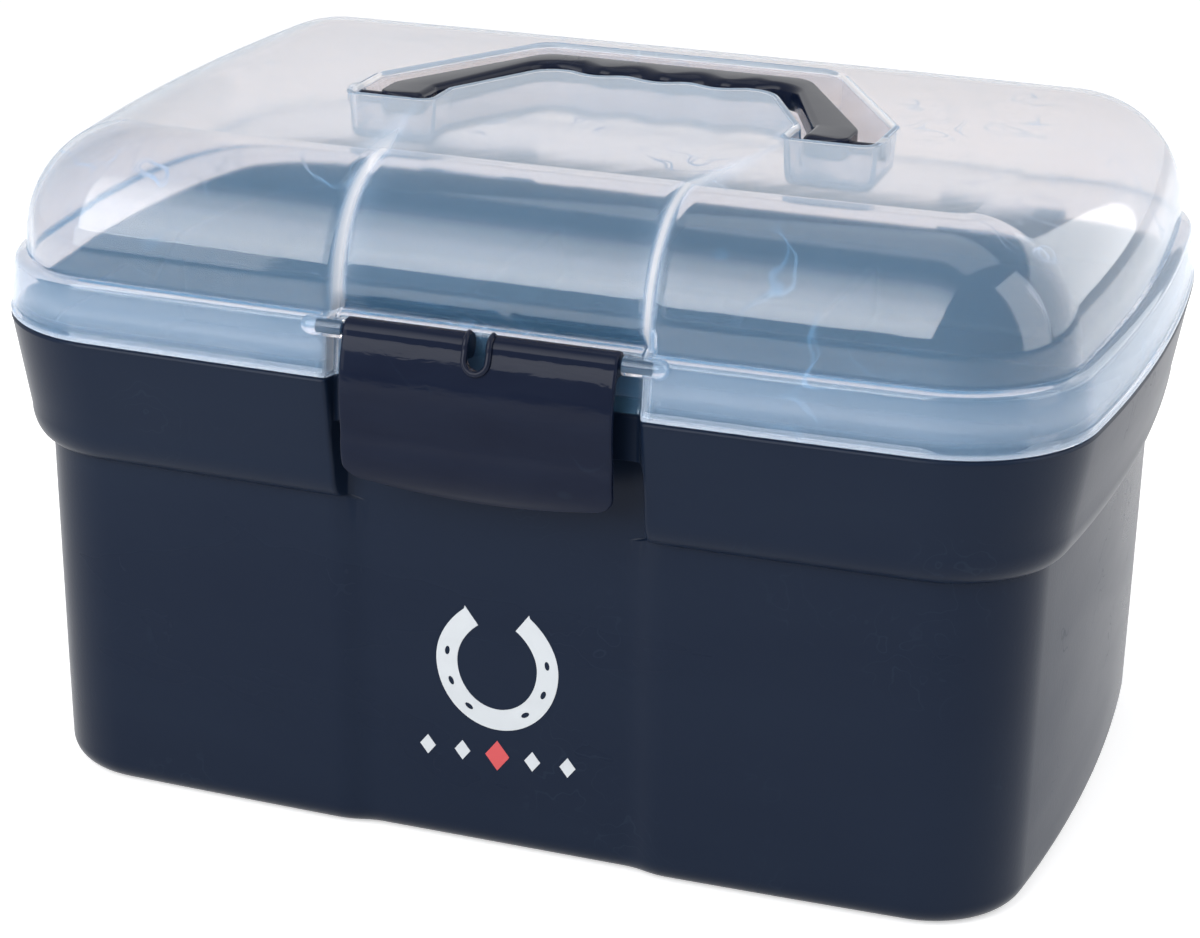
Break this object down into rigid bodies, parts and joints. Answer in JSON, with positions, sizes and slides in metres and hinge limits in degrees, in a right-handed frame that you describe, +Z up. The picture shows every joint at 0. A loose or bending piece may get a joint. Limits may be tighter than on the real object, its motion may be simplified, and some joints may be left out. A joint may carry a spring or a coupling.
{
  "type": "horse grooming box",
  "caption": "Lidded carry box for grooming tools: crowned tub with a collar, clear domed lid on rear hinges, front snap latch, fold-flat top handle and lift-out divided tray.",
  "frame": {"origin": "middle of the tub's flat bottom", "axes": "+X along the width to the right seen from the latch, -Y towards the latch, +Z up"},
  "size_m": [0.4, 0.2851, 0.241],
  "materials": {
    "navy_plastic": "smooth moulded plastic, soft gloss",
    "navy_gloss": "polished moulded plastic",
    "clear_plastic": "clear, slightly milky moulded plastic",
    "pin_steel": "drawn steel wire"
  },
  "bodies": {
    "base": {"base_tub": "navy_plastic", "hinge_pin_left": "pin_steel", "hinge_pin_right": "pin_steel"},
    "lid": {"lid_shell": "clear_plastic"},
    "latch": {"latch_clip": "navy_gloss"},
    "handle": {"carry_handle": "navy_gloss"},
    "tray": {"insert_tray": "navy_plastic"}
  },
  "joints": [
    {"name": "lid_hinge", "type": "hinge", "parent": "base", "child": "lid", "pos_m": [0, 0.141, 0.174], "axis": [-1, 0, 0], "range_deg": [0, 105]},
    {"name": "latch_pivot", "type": "hinge", "parent": "lid", "child": "latch", "pos_m": [0, -0.1312, 0.192], "axis": [-1, 0, 0], "range_deg": [0, 110]},
    {"name": "handle_swing", "type": "hinge", "parent": "lid", "child": "handle", "pos_m": [0, -0.007, 0.236], "axis": [1, 0, 0], "range_deg": [0, 95]},
    {"name": "tray_lift", "type": "slide", "parent": "base", "child": "tray", "axis": [0, 0, 1], "range_m": [0, 0.024]}
  ]
}
